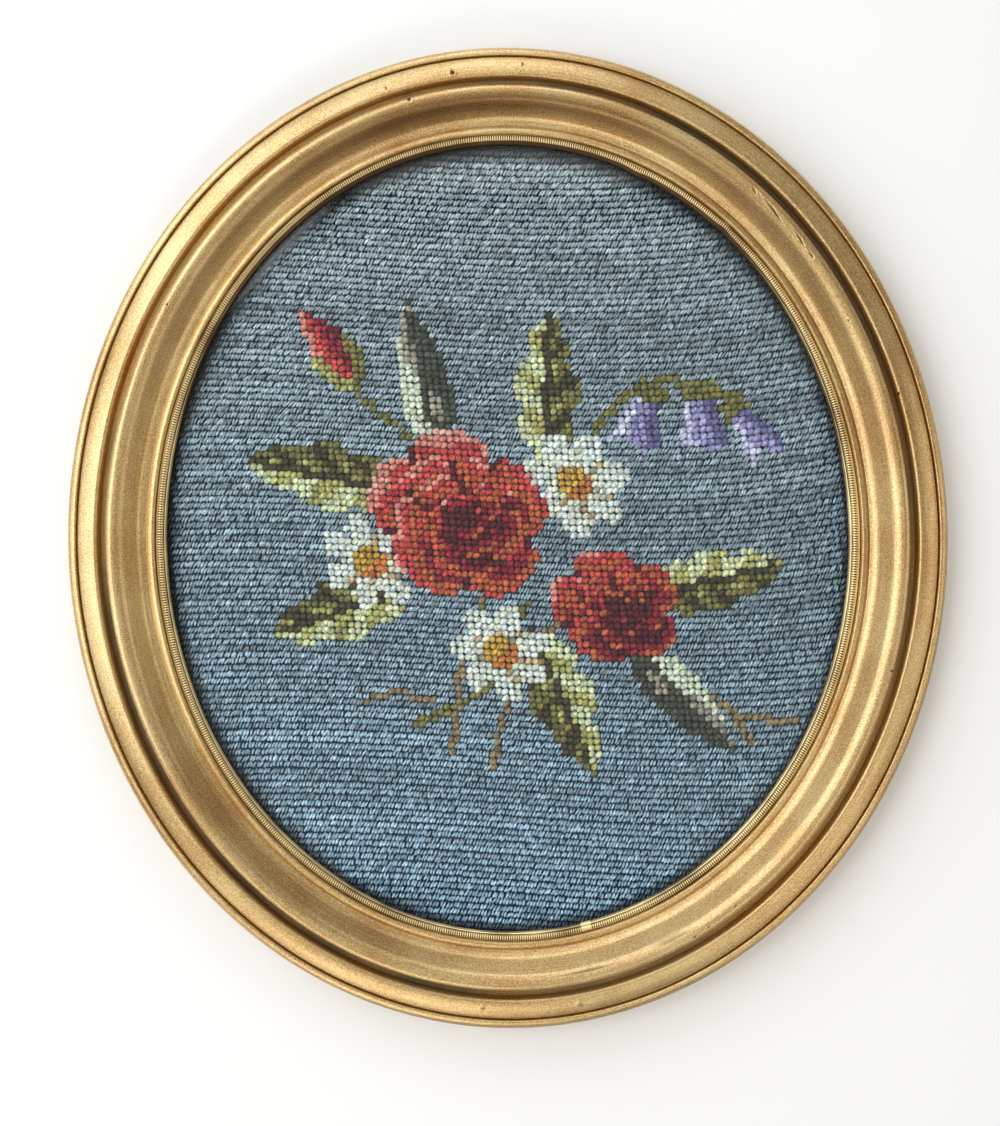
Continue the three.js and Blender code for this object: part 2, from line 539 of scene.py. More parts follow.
MOULDING_START = (1.5, 0)
MOULDING = (
    Member("outer side", (0, 12.6), None, 4, 0.8, 0.1, False),
    Member("outer bead, rising", (2.9, 15.8), (0.2, 15.5), 9, 0.0, 0.35, False),
    Member("outer bead, falling", (3.5, 14.8), (3.4, 15.8), 4, 0.3, 0.0, False),
    Member("groove", (3.8, 14.2), None, 2, 1.0, 0.0, False),
    Member("ovolo, foot", (4.1, 15.5), None, 2, 0.3, 0.0, False),
    Member("ovolo, rising", (10.3, 17.7), (6.8, 17.3), 12, 0.0, 0.15, False),
    Member("ovolo, shoulder", (11.6, 16.95), (11.15, 17.75), 6, 0.25, 0.0, False),
    Member("ovolo, falling", (12.1, 14.5), (12.05, 16.15), 5, 0.6, 0.0, False),
    Member("trench", (14.7, 13.9), (13.4, 13.1), 6, 0.62, 0.0, False),
    Member("ridge wall", (15.2, 19.1), None, 5, 0.35, 0.3, False),
    Member("ridge, outer round", (17.0, 20), (15.9, 20), 8, 0.0, 0.3, False),
    Member("ridge, crown", (19.3, 19.5), (18.3, 19.9), 9, 0.0, 0.65, False),
    Member("ridge, inner round", (21.0, 18.4), (20.3, 19.1), 4, 0.1, 0.5, False),
    Member("slope", (25.0, 13.7), (22.9, 16.2), 6, 0.15, 0.0, False),
    Member("cove", (27.2, 12.2), (25.9, 12.6), 8, 0.1, 0.0, False),
    Member("hollow", (28.3, 11.9), None, 3, 0.4, 0.0, False),
    Member("sight bead, rising", (30.9, 13.1), (29.3, 13.1), 7, 0.0, 0.2, False),
    Member("sight bead, falling", (31.5, 11.3), (31.5, 12.9), 5, 0.35, 0.0, False),
    Member("sight wall", (31.6, 9.3), None, 2, 0.8, 0.0, False),
    Member("rebate ledge", (26.5, 9.3), None, 2, 0.0, 0.0, True),
    Member("rebate wall", (26.5, 0), None, 2, 0.0, 0.0, True),
    Member("back", MOULDING_START, None, 4, 0.0, 0.0, True),
)

SLIP_START = (29.3, 8.5)
SLIP = (
    Member("flange end", (29.3, 9.0), None, 1, 0.0, 0.0, False),
    Member("flange top", (31.8, 9.0), None, 1, 0.6, 0.0, False),
    Member("outer wall", (31.8, 11.0), None, 1, 0.45, 0.0, False),
    Member("reeded bead, rising", (32.7, 11.6), (32.0, 11.55), 4, 0.0, 1.0, False),
    Member("reeded bead, falling", (33.9, 10.4), (33.7, 11.6), 4, 0.9, 0.0, False),
    Member("lip, outer", (34.1, 10.25), None, 1, 0.8, 0.0, False),
    Member("lip, line", (34.3, 10.1), None, 1, 0.3, 0.0, False),
    Member("lip, inner", (34.6, 9.9), None, 1, 0.7, 0.0, False),
    Member("lip edge", (34.9, 9.4), None, 1, 0.6, 0.0, False),
    Member("sight wall", (34.9, 8.5), None, 1, 0.9, 0.0, False),
    Member("base", SLIP_START, None, 1, 0.0, 0.0, False),
)
SIGHT_HALF = SHORT_HALF - SLIP[-2].to[0] * MM


def walk_section(start, members):
    """Points of a closed section in metres, with each point's soiling and painted shade, its rub, and which
    runs are bare.
    """
    points = [start]
    grime = [0.0]
    rub = [0.0]
    bare = []
    for member in members:
        x0, z0 = points[-1]
        x1, z1 = member.to
        xb, zb = member.bend or ((x0 + x1) / 2, (z0 + z1) / 2)
        grime_and_shade_before, rub0 = grime[-1], rub[-1]
        for step in range(1, member.steps + 1):
            t = step / member.steps
            first, middle, last = (1 - t) ** 2, 2 * t * (1 - t), t ** 2
            points.append((first * x0 + middle * xb + last * x1, first * z0 + middle * zb + last * z1))
            # Soiling and painted shade gather close to the darker end of a member.
            gathered = t ** 5 if member.grime > grime_and_shade_before else 1 - (1 - t) ** 5
            grime.append(grime_and_shade_before + (member.grime - grime_and_shade_before) * gathered)
            rub.append(rub0 + (member.rub - rub0) * t)
            bare.append(member.bare)
    return MM * np.array(points[:-1]), np.array(grime[:-1]), np.array(rub[:-1]), np.array(bare)


def ring_faces(turns, count):
    """Four-cornered faces of a closed ring of sections."""
    turn = np.arange(turns)[:, None]
    spot = np.arange(count)[None, :]
    here = turn * count
    there = (turn + 1) % turns * count
    spot_next = (spot + 1) % count
    corners = (here + spot, here + spot_next, there + spot_next, there + spot)
    return np.stack(np.broadcast_arrays(*corners), -1).reshape(-1, 4)


def ring_map(turn_angles, section):
    """Each face corner's distance round the ring and along the section, in metres."""
    round_at = np.append(turn_angles, turn_angles[0] + 2 * math.pi) * MEAN_HALF
    runs = np.linalg.norm(np.diff(np.vstack([section, section[:1]]), axis=0), axis=1)
    along_at = np.append(0, np.cumsum(runs))
    turn = np.arange(len(turn_angles))[:, None]
    spot = np.arange(len(section))[None, :]
    corners = [(turn, spot), (turn, spot + 1), (turn + 1, spot + 1), (turn + 1, spot)]
    pairs = [np.stack(np.broadcast_arrays(round_at[a], along_at[b]), -1) for a, b in corners]
    return np.stack(pairs, 2).reshape(-1, 2)


def on_oval(inward, height, turn_angles):
    """Points on the ovals that lie this far inside the frame's outer edge."""
    x = (SHORT_HALF - inward) * np.cos(turn_angles)
    y = (SHORT_HALF - inward + THROW) * np.sin(turn_angles)
    return np.stack(np.broadcast_arrays(x, y, height), -1)


# Moulding

# Marks of use: turn in degrees from the picture's right, and inward, radius and depth in millimetres.
# stretch: how much longer a mark is round the oval than across the moulding.
# lean: how far it runs inward for each unit round.

Mark = namedtuple("Mark", "name turn inward radius stretch lean depth grime")

MARKS = (
    Mark("nail pit", 95.9, 8.9, 1.0, 1, 0, -0.8, 1.4),
    Mark("small pit, top left", 105.2, 8.9, 0.6, 1, 0, -0.4, 1.2),
    Mark("small pit, top", 86.3, 7.0, 0.6, 1, 0, -0.4, 1.1),
    Mark("chip, top of the ridge", 102.6, 15.9, 1.3, 0.9, 0, -0.3, 1.1),
    Mark("crack, first", 49.8, 17.8, 0.4, 5, -0.3, -0.3, 1.1),
    Mark("crack, second", 45.9, 18.2, 0.4, 17, -0.14, -0.35, 1.15),
    Mark("crack, third", 40.6, 17.9, 0.4, 9, -0.12, -0.3, 1.1),
    Mark("crack, fourth", 38.0, 18.1, 0.38, 5, 0, -0.25, 1.0),
    Mark("pit, right of the ridge", 28.0, 18.9, 0.5, 1, 0, -0.3, 1.0),
    Mark("pit, right", 16.8, 11.3, 0.6, 1, 0, -0.4, 1.1),
    Mark("nick, right", 341.5, 15.9, 1.0, 0.4, 0, -0.35, 1.4),
    Mark("chip, lower right, first", 303.3, 17.4, 0.35, 5, 0, -0.2, 1.1),
    Mark("chip, lower right, second", 298.6, 16.9, 0.45, 1.5, 0.3, -0.25, 1.2),
    Mark("chip, lower right, third", 296.2, 16.5, 0.45, 2.2, 0.2, -0.25, 1.2),
    Mark("blob, bottom right", 278.1, 8.3, 1.2, 1, 0, 0.7, 0.0),
    Mark("blob, bottom", 264.8, 8.7, 1.1, 1, 0, 0.6, 0.0),
    Mark("pit, left of the ridge", 147.3, 17.2, 0.55, 1.2, 0, -0.3, 1.2),
    Mark("scuff, left", 164.0, 10.9, 0.35, 3, 0, -0.2, 0.9),
)
MARK_STEP = 0.25 * MM
MARK_REACH = 2.2

# Wear and painted shade that change round the oval, by distance in from the outer edge in millimetres.

# Painted shade in the hollow, most at the top.
PAINTED_HOLLOW_SHADE = ((17.0, 19.5, 22.5, 26.0), (0, 1, 1, 0))
# Painted shade on the outer rim and the shoulder, on the side away from the light.
PAINTED_LEE_SHADE = ((0.0, 1.0, 2.2, 8.8, 11.3, 12.3), (0.6, 0.45, 0, 0, 0.40, 0))
# The trench's span, and how far its painted shade swings round the oval.
TRENCH_SPAN = (11.0, 15.4)
TRENCH_SHADE_SWING = 0.3
RUB_SHARE = 0.9
RUB_SWING = 0.12

# The face starts this far in from the outer edge, above this share of the frame's squared height.

OUTER_WALL = 0.2
FACE_SHARE = 0.3
MOULDING_CREASE = math.radians(50)


def moulding_turns(steps):
    """Angles round the oval, closer together where there is a mark."""
    even = np.linspace(0, 2 * math.pi, steps, endpoint=False)
    extra = []
    for mark in MARKS:
        reach = MARK_REACH * mark.radius * mark.stretch * MM
        offsets = np.arange(-reach, reach, MARK_STEP * max(1, mark.stretch / 3))
        extra.append(math.radians(mark.turn) + offsets / SHORT_HALF)
    return np.unique(np.round(np.concatenate([even, *extra]) % (2 * math.pi), 6))


def marked(inward, turn_angles):
    """How far the marks push each point up, and the grime that they hold."""
    push = np.zeros(inward.shape)
    grime = np.zeros(inward.shape)
    for mark in MARKS:
        turn = (turn_angles - math.radians(mark.turn) + math.pi) % (2 * math.pi) - math.pi
        along = turn * MEAN_HALF
        across = inward - mark.inward * MM - mark.lean * along
        away = np.hypot(along / mark.stretch, across) / (mark.radius * MM)
        heart = np.exp(-1.6 * away ** 2)
        rim = np.exp(-((away - 1.25) / 0.4) ** 2)
        push += MM * mark.depth * (heart - 0.3 * rim * (mark.depth < 0))
        grime += mark.grime * heart
    return push, grime


def waver(turn_angles, phase):
    """A slow uneven wave round the oval, between about -1 and 1."""
    return (np.sin(3 * turn_angles + phase) + 0.7 * np.sin(7 * turn_angles + 2.3 * phase)
            + 0.5 * np.sin(13 * turn_angles + 0.7 * phase)) / 2


def painted_hollow_shade(section, column):
    """Painted shade in the hollow: most at the picture's top."""
    return np.clip(np.sin(column), 0, 1) ** 2 * np.interp(section[:, 0] / MM, *PAINTED_HOLLOW_SHADE)


def trench_shade_swing(section, column):
    """Painted shade in the trench: it grows towards the upper right and lower left of the picture and
    shrinks towards the others.
    """
    trench = (section[:, 0] > TRENCH_SPAN[0] * MM) & (section[:, 0] < TRENCH_SPAN[1] * MM)
    return 1 + TRENCH_SHADE_SWING * np.sin(2 * column) * trench


def painted_lee_shade(section, column):
    """Painted shade on the outer rim and the ovolo's shoulder, on the side away from the light."""
    lee = np.clip(0.5 - 0.8 * np.cos(column - LIGHT_FROM), 0, 1)
    return lee * np.interp(section[:, 0] / MM, *PAINTED_LEE_SHADE)


def make_moulding(settings):
    """Sweeps the moulding's section round the oval."""
    section, grime, rub, bare = walk_section(MOULDING_START, MOULDING)
    turns = moulding_turns(settings.turns)
    column = turns[:, None]
    front = np.clip(section[:, 1] / FRAME_HIGH.z, 0, 1) ** 2 * (section[:, 0] > OUTER_WALL * MM)
    showing = front > FACE_SHARE
    inward = section[None, :, 0] + settings.waver * front * waver(column, 1.0)
    push, dirt_and_shade = marked(inward, column)
    height = section[None, :, 1] + settings.waver * front * waver(column, 4.0) + push * showing
    points = on_oval(inward, height, column).reshape(-1, 3)
    faces = [ring_faces(len(turns), len(section))]
    piece = mesh_piece("gilt_moulding", points, faces, [gilding(settings), bare_wood(settings)])
    piece.data.polygons.foreach_set("material_index", np.tile(bare, len(turns)).astype(np.int32))
    piece.data.set_sharp_from_angle(angle=MOULDING_CREASE)
    # Soiling in the marks, and painted shade on the side away from the light.
    dirt_and_shade = dirt_and_shade + painted_lee_shade(section, column)
    # Painted shade in the hollow at the top.
    hold_numbers(piece, "toned", settings.top_hollow_shade * painted_hollow_shade(section, column) * showing)
    # Painted shade in the trench grows and shrinks round the oval.
    hold_numbers(piece, "grime", grime * trench_shade_swing(section, column) + dirt_and_shade * showing)
    hold_numbers(piece, "rub", rub * (RUB_SHARE - RUB_SWING * np.sin(column)))
    hold_map(piece, "sweep", ring_map(turns, section))
    belongs(piece, "gilt_wood", "frame_moulding")


# Slip

# Bends of the strip: turn and spread in degrees, and inward in millimetres.

Bend = namedtuple("Bend", "name turn spread inward")

SLIP_BENDS = (
    Bend("kink, upper right", 66.4, 1.6, 0.5),
    Bend("step, right of the top", 49.8, 1.1, -0.45),
    Bend("slack, lower left", 236.0, 9.0, 0.3),
)

# Places on the strip's section in millimetres, its lap, the cuts across one reed with their soiling and
# painted shade, and the painted shadow on its lip.

FLANGE_END = SLIP[1].to[0] + 0.05
FLANGE_TOP = SLIP_START[1] + 0.2
LAP_TURN = math.radians(281.3)
LAP_RISE = 0.22 * MM
LAP_RINGS = 9
LAP_GRIME = 0.15
LIP_EDGE = 33.8
LIP_SHADOW = 0.6
REED_CUT = (1.0, 0.45, 0.0, 0.1)
REED_GRIME_AND_SHADE = 2.2
SLIP_CREASE = math.radians(55)


def slip_shift(turn_angles):
    """How far the strip strays inward, in metres."""
    shift = np.zeros(turn_angles.shape)
    for bend in SLIP_BENDS:
        away = np.degrees((turn_angles - math.radians(bend.turn) + math.pi) % (2 * math.pi) - math.pi)
        shift += bend.inward * MM * np.exp(-(away / bend.spread) ** 2)
    return shift


def lap_rings(section, lap_length):
    """Rings of points along the plain tab that laps the strip's ends."""
    half = lap_length / (SHORT_HALF + THROW) / 2
    column = LAP_TURN + np.linspace(-half, half, LAP_RINGS)[:, None]
    outer = on_oval(section[None, :, 0], section[None, :, 1] + LAP_RISE, column)
    inner = on_oval(section[None, ::-1, 0], section[None, ::-1, 1] - LAP_RISE, column)
    return np.concatenate([outer, inner], axis=1)


def lap_faces(count):
    """The tab's faces round about, and its two ends."""
    first = np.arange(count)[None, ::-1]
    last = np.arange(count)[None, :] + (LAP_RINGS - 1) * count
    return [ring_faces(LAP_RINGS, count)[:-count], first, last]


def make_slip(settings):
    """Bends the reeded strip round the sight and laps its ends under a plain tab."""
    section, grime, reeded, _ = walk_section(SLIP_START, SLIP)
    showing = section[:, 0] > FLANGE_END * MM
    round_length = 2 * math.pi * (MEAN_HALF - SLIP[3].to[0] * MM)
    reeds = round(round_length / settings.reed_pitch)
    turns = np.linspace(0, 2 * math.pi, reeds * len(REED_CUT), endpoint=False)
    column = turns[:, None]
    cut = np.tile(np.array(REED_CUT), reeds)[:, None] * reeded
    longer = settings.oval * (0.33 + np.cos(2 * column))
    inward = section[None, :, 0] + (slip_shift(column) + longer) * showing
    height = section[None, :, 1] - settings.reed_depth * cut
    strip = on_oval(inward, height, column).reshape(-1, 3)
    lip = section[:, 0] > LIP_EDGE * MM
    # Soiling and painted shade in the cuts between the reeds, and painted shadow on the lip at the top.
    strip_grime_and_shade = grime + REED_GRIME_AND_SHADE * cut + LIP_SHADOW * np.clip(np.sin(column), 0, 1) * lip

    lap = lap_rings(section[showing & (section[:, 1] > FLANGE_TOP * MM)], settings.lap_length)
    faces = [ring_faces(len(turns), len(section))]
    faces += [block + len(strip) for block in lap_faces(lap.shape[1])]
    lap = lap.reshape(-1, 3)
    piece = mesh_piece("reeded_slip", np.concatenate([strip, lap]), faces, [slip_brass(settings)])
    piece.data.set_sharp_from_angle(angle=SLIP_CREASE)
    hold_numbers(piece, "grime", np.append(strip_grime_and_shade, np.full(len(lap), LAP_GRIME)))
    belongs(piece, "slip_brass", "slip")


# Oval sheets: glass, canvas and board

SHEET_TURNS = 200
SHEET_CREASE = math.radians(30)
GLASS_RINGS = 3
BOARD_RINGS = 6
CANVAS_RINGS = 20


def oval_sheet(name, low, high, arris, rings, materials, ripple=None):
    """A closed oval sheet with a small arris, and rings of points on both faces."""
    turns = np.linspace(0, 2 * math.pi, SHEET_TURNS, endpoint=False)
    half = np.array([high.x, high.y])
    reaches = np.linspace(0, 1, rings + 1)[1:]
    trimmed = (half - arris) / half
    levels = [(trimmed * reach, low.z) for reach in reaches]
    levels += [(np.ones(2), low.z + arris), (np.ones(2), high.z - arris)]
    levels += [(trimmed * reach, high.z) for reach in reaches[::-1]]
    points = [np.array([[0, 0, low.z]])]
    for size, level in levels:
        x = half[0] * size[0] * np.cos(turns)
        y = half[1] * size[1] * np.sin(turns)
        points.append(np.stack([x, y, np.full(SHEET_TURNS, level)], -1))
    points.append(np.array([[0, 0, high.z]]))
    points = np.concatenate(points)
    if ripple is not None:
        points[:, 2] += ripple(points[:, 0], points[:, 1])
    spot = np.arange(SHEET_TURNS)
    after = (spot + 1) % SHEET_TURNS
    bands = []
    for level in range(len(levels) - 1):
        low_ring = 1 + level * SHEET_TURNS
        high_ring = low_ring + SHEET_TURNS
        bands.append(np.stack([low_ring + spot, low_ring + after, high_ring + after, high_ring + spot], -1))
    last_ring = 1 + (len(levels) - 1) * SHEET_TURNS
    bottom = np.stack([np.zeros_like(spot), 1 + after, 1 + spot], -1)
    top = np.stack([np.full_like(spot, len(points) - 1), last_ring + spot, last_ring + after], -1)
    piece = mesh_piece(name, points, [np.concatenate(bands), bottom, top], materials)
    piece.data.set_sharp_from_angle(angle=SHEET_CREASE)
    return piece


def make_glass(settings):
    """Lays the glass on the canvas."""
    materials = [picture_glass(settings), glass_edge(settings)]
    piece = oval_sheet("glass_sheet", GLASS_LOW, GLASS_HIGH, 0.3 * MM, GLASS_RINGS, materials)
    rim = np.zeros(len(piece.data.polygons), np.int32)
    rim[(GLASS_RINGS - 1) * SHEET_TURNS:(GLASS_RINGS + 2) * SHEET_TURNS] = 1
    piece.data.polygons.foreach_set("material_index", rim)
    belongs(piece, "picture_glass", "glass")


def make_board(settings):
    """Fits the plain board behind the canvas."""
    materials = [pressed_board(settings)]
    piece = oval_sheet("back_board", BOARD_LOW, BOARD_HIGH, 0.35 * MM, BOARD_RINGS, materials)
    belongs(piece, "board", "backing_board")


# The chart: which wool each stitch of the posy takes. Places are counted in stitches from the middle.

CHART_HALF_COLUMNS = 56
CHART_HALF_ROWS = 66

ROSE_YARNS = ("crimson_dark", "crimson", "rust", "coral", "salmon", "blush")
DAISY_YARNS = ("taupe", "ecru", "cream", "ivory", "ivory")
BELL_YARNS = ("violet_dark", "violet", "lilac", "lilac_pale")
BUD_YARNS = ("crimson_dark", "crimson", "coral", "salmon")
LEAF_YARNS = ("olive_dark", "olive", "olive_light", "chartreuse")
BLADE_YARNS = ("slate_olive", "slate_olive", "taupe", "cream")

# Rings of rose petals: share of the flower's radius, number of petals, turn.

ROSE_RINGS = ((1.0, 5, 0.0), (0.74, 5, 0.6), (0.50, 4, 0.3), (0.28, 3, 0.9))

Stem = namedtuple("Stem", "yarn points")
Leaf = namedtuple("Leaf", "base tip width lobes yarns")
Bell = namedtuple("Bell", "base tip width")
Bud = namedtuple("Bud", "base tip width")
Daisy = namedtuple("Daisy", "centre radius turn petals")
Rose = namedtuple("Rose", "centre radius turn flatten depth")

STEMS = (
    Stem("stem", ((-4, -8), (-9, -20), (-12, -34))),
    Stem("olive", ((2, -10), (-6, -24), (-17, -30))),
    Stem("stem", ((10, -8), (-2, -22), (-6, -36))),
    Stem("olive", ((-12, 14), (-19, 20), (-21, 24))),
    Stem("olive", ((12, 14), (19, 22), (26, 25), (34, 23), (37, 20))),
    Stem("stem", ((-14, -26), (-20, -25), (-24, -27))),
    Stem("stem", ((24, -22), (32, -27), (40, -28))),
    Stem("stem", ((30, -26), (33, -31))),
)
LEAVES = (
    Leaf((-14, 6), (-38, 10), 10, 3, LEAF_YARNS),
    Leaf((-9, 12), (-11, 36), 8, 0, BLADE_YARNS),
    Leaf((7, 12), (10, 36), 9, 3, LEAF_YARNS),
    Leaf((20, -8), (41, -4), 9, 3, LEAF_YARNS),
    Leaf((17, -16), (30, -32), 8, 0, BLADE_YARNS),
    Leaf((-16, -9), (-37, -17), 9, 3, LEAF_YARNS),
    Leaf((2, -14), (9, -36), 10, 3, LEAF_YARNS),
)
BUDS = (Bud((-20, 22), (-27, 34), 8),)
BELLS = (Bell((24, 23), (20, 14), 8), Bell((31, 23), (31, 13), 8), Bell((36, 20), (41, 12), 7))
DAISIES = (Daisy((11, 9), 8.6, 0.2, 7), Daisy((-21, -5), 7.6, 0.0, 7), Daisy((-3, -18), 7.8, 0.35, 7))
ROSES = (Rose((15, -10), 9.8, 0.5, 0.92, 0.12), Rose((-7, 3), 13.4, 0.35, 1.0, 0.0))

YARN_NAMES = tuple(YarnColours.__annotations__)
YARN_FAMILIES = {
    "rose_stitches": ROSE_YARNS,
    "daisy_stitches": (*DAISY_YARNS, "gold", "amber"),
    "bell_stitches": BELL_YARNS,
    "leaf_stitches": (*LEAF_YARNS, "slate_olive", "stem"),
}


class Chart:
    """A grid of stitches, each holding the number of its wool."""

    def __init__(self):
        columns = np.arange(-CHART_HALF_COLUMNS, CHART_HALF_COLUMNS + 1.0)
        rows = np.arange(-CHART_HALF_ROWS, CHART_HALF_ROWS + 1.0)
        self.x, self.y = np.meshgrid(columns, rows)
        self.wool = np.full(self.x.shape, YARN_NAMES.index("ground"))

    def lay(self, where, yarn):
        """Works these stitches in one wool."""
        self.wool[where] = YARN_NAMES.index(yarn)

    def shade(self, where, tone, yarns):
        """Works these stitches from dark to light as tone goes from 0 to 1."""
        step = np.clip((tone * len(yarns)).astype(int), 0, len(yarns) - 1)
        for number, yarn in enumerate(yarns):
            self.lay(where & (step == number), yarn)

    def round(self, centre, flatten=1.0):
        """Distance and direction from a flower's heart."""
        x = self.x - centre[0]
        y = (self.y - centre[1]) / flatten
        return np.hypot(x, y), np.arctan2(y, x)

    def along(self, base, tip):
        """Share of the way from base to tip, and stitches to the left of that line."""
        x, y = tip[0] - base[0], tip[1] - base[1]
        span = math.hypot(x, y)
        share_along = ((self.x - base[0]) * x + (self.y - base[1]) * y) / span ** 2
        aside = ((self.y - base[1]) * x - (self.x - base[0]) * y) / span
        return share_along, aside


def petal_fan(direction, petals, turn):
    """Which petal a stitch is in, and how far across that petal it lies, from -1 to 1."""
    span = 2 * math.pi / petals
    nearest = np.round((direction - turn) / span)
    return nearest % petals, (direction - turn - nearest * span) / (span / 2)


def work_stem(chart, stem):
    """A line one stitch wide through the stem's points."""
    for (x0, y0), (x1, y1) in zip(stem.points, stem.points[1:]):
        steps = 2 * max(abs(x1 - x0), abs(y1 - y0))
        for step in range(steps + 1):
            x = round(x0 + (x1 - x0) * step / steps)
            y = round(y0 + (y1 - y0) * step / steps)
            chart.lay((chart.x == x) & (chart.y == y), stem.yarn)


def work_leaf(chart, leaf):
    """A pointed or lobed leaf, lighter on its left half, with a dark midrib and side veins."""
    along, aside = chart.along(leaf.base, leaf.tip)
    on_line = (along >= 0) & (along <= 1)
    along = np.clip(along, 0, 1)
    half = leaf.width / 2 * np.sin(math.pi * along ** 0.8) ** 0.75
    if leaf.lobes:
        half = half * (0.78 + 0.34 * np.abs(np.sin(math.pi * leaf.lobes * along)))
    inside = on_line & (np.abs(aside) <= half)
    reach = aside / np.maximum(half, 1e-6)
    veins = 0.16 * np.sin(2 * math.pi * (leaf.lobes + 1) * (along - 0.16 * np.abs(reach)))
    tone = np.where(reach > 0, 0.66 + 0.25 * reach, 0.42 + 0.14 * reach) + veins
    chart.shade(inside, tone, leaf.yarns)
    chart.lay(on_line & (np.abs(aside) < 0.5) & (along < 0.92), leaf.yarns[0])


def work_bud(chart, bud):
    """A closed bud, lighter on its left, in a green cup."""
    along, aside = chart.along(bud.base, bud.tip)
    half = bud.width / 2 * np.sin(math.pi * np.clip(along, 0, 1) ** 0.65)
    inside = (along >= 0) & (along <= 1) & (np.abs(aside) <= half)
    chart.shade(inside, 0.55 + 0.45 * aside / np.maximum(half, 1e-6), BUD_YARNS)
    cup = inside & (along < 0.40 - 0.25 * np.cos(2 * math.pi * aside / bud.width))
    chart.lay(cup, "olive")
    chart.lay(cup & (aside > 0), "olive_light")


def work_bell(chart, bell):
    """A hanging bell with a flared, scalloped mouth and a green cap."""
    along, aside = chart.along(bell.base, bell.tip)
    throat = 0.40 + 0.45 * np.clip(along / 0.7, 0, 1) ** 1.2
    flare = np.where(along < 0.7, throat, 0.85 + 0.5 * (along - 0.7))
    half = bell.width / 2 * flare
    mouth = 1.0 - 0.18 * np.abs(np.sin(1.5 * math.pi * (aside / bell.width + 0.5)))
    inside = (along >= 0) & (along <= mouth) & (np.abs(aside) <= half)
    tone = 0.60 - 0.34 * aside / np.maximum(half, 1e-6) + 0.22 * (along - 0.5)
    chart.shade(inside, tone, BELL_YARNS)
    chart.lay((along > -0.16) & (along < 0.14) & (np.abs(aside) <= 0.28 * bell.width), "olive")


def work_daisy(chart, daisy):
    """Round-ended petals, each shaded along one side, about a yellow heart."""
    away, direction = chart.round(daisy.centre)
    _, across = petal_fan(direction, daisy.petals, daisy.turn)
    edge = daisy.radius * (1.0 - 0.42 * across ** 2)
    tone = 0.35 + 0.65 * away / edge + 0.12 * np.cos(direction - LIGHT_FROM)
    tone = tone - 0.75 * across ** 2 * (across > 0)
    chart.shade(away <= edge, tone, DAISY_YARNS)
    heart = away < 0.31 * daisy.radius
    chart.lay(heart, "gold")
    chart.lay(heart & (chart.x - chart.y > daisy.centre[0] - daisy.centre[1] + 0.6), "amber")


def work_rose(chart, rose):
    """Rings of petals, the inner over the outer, each dark at its foot and light at its rim."""
    away, direction = chart.round(rose.centre, rose.flatten)
    for size, petals, turn in ROSE_RINGS:
        petal, across = petal_fan(direction, petals, rose.turn + turn)
        edge = size * rose.radius * (1.0 - 0.2 * np.abs(across) ** 3)
        reach = away / edge
        tone = 0.68 * reach ** 2 - 0.08 + 0.18 * np.cos(direction - LIGHT_FROM) - rose.depth
        tone = tone + 0.12 * size - 0.28 * across ** 2 * (across > 0) + 0.05 * np.sin(5 * across + petal)
        chart.shade(reach <= 1, tone, ROSE_YARNS)
        chart.lay((reach <= 1) & (across > 0.8) & (reach > 0.45), "crimson_dark")
    curl = np.sin(2 * direction + 9 * away / rose.radius)
    chart.lay((away < 0.2 * rose.radius) & (curl > 0), "crimson_dark")


def posy_chart():
    """Stems first, then leaves, then the flowers over them."""
    chart = Chart()
    layers = ((work_stem, STEMS), (work_leaf, LEAVES), (work_bud, BUDS), (work_bell, BELLS),
              (work_daisy, DAISIES), (work_rose, ROSES))
    for work, motifs in layers:
        for motif in motifs:
            work(chart, motif)
    return chart


# Stitches

# A strand of wool: rings along it, and the points of a ring as angles in degrees.
STRAND_RINGS = (-0.78, 0.0, 0.78)
STRAND_ROUND = (-118, -62, 14, 90, 166)
STRANDS = np.array([-1.0, 1.0])

# How far the canvas is pulled askew, and over how many rows and columns the ground's tone and hue drift.
ROW_BOW = 2.18 * MM
BOW_SPAN = (125 * MM, 145 * MM)
DRIFT_ROWS = 55
DRIFT_COLUMNS = 50
TOP_TINT = (0.12, 0.03, -0.04)

# Each strand's room in the baking map, and its place in the wool's pattern.
MAP_MARGIN = 0.06
MAP_STEP = 7.31


def strand_form():
    """One strand as a closed spindle: along the yarn, across it and up, each from -1 to 1."""
    sides = len(STRAND_ROUND)
    points = [(-1.0, 0.0, -0.5)]
    for station in STRAND_RINGS:
        girth = (1 - abs(station) ** 5) ** 0.5
        for turn in map(math.radians, STRAND_ROUND):
            points.append((station, girth * math.cos(turn), girth * math.sin(turn)))
    points.append((1.0, 0.0, -0.5))
    last = len(points) - 1
    final = last - sides
    ends = [0.5 + 0.5 * station for station in STRAND_RINGS]
    quads = []
    quad_map = []
    caps = []
    cap_map = []
    for side in range(sides):
        after = (side + 1) % sides
        low, high = side / sides, (side + 1) / sides
        middle = (low + high) / 2
        for ring in range(len(STRAND_RINGS) - 1):
            here = 1 + ring * sides
            there = here + sides
            quads.append((here + side, there + side, there + after, here + after))
            start, end = ends[ring], ends[ring + 1]
            quad_map.append(((start, low), (end, low), (end, high), (start, high)))
        caps.append((0, 1 + side, 1 + after))
        cap_map.append(((0.0, middle), (ends[0], low), (ends[0], high)))
        caps.append((last, final + after, final + side))
        cap_map.append(((1.0, middle), (ends[-1], high), (ends[-1], low)))
    return np.array(points), np.array(quads), np.array(caps), np.array(quad_map), np.array(cap_map)


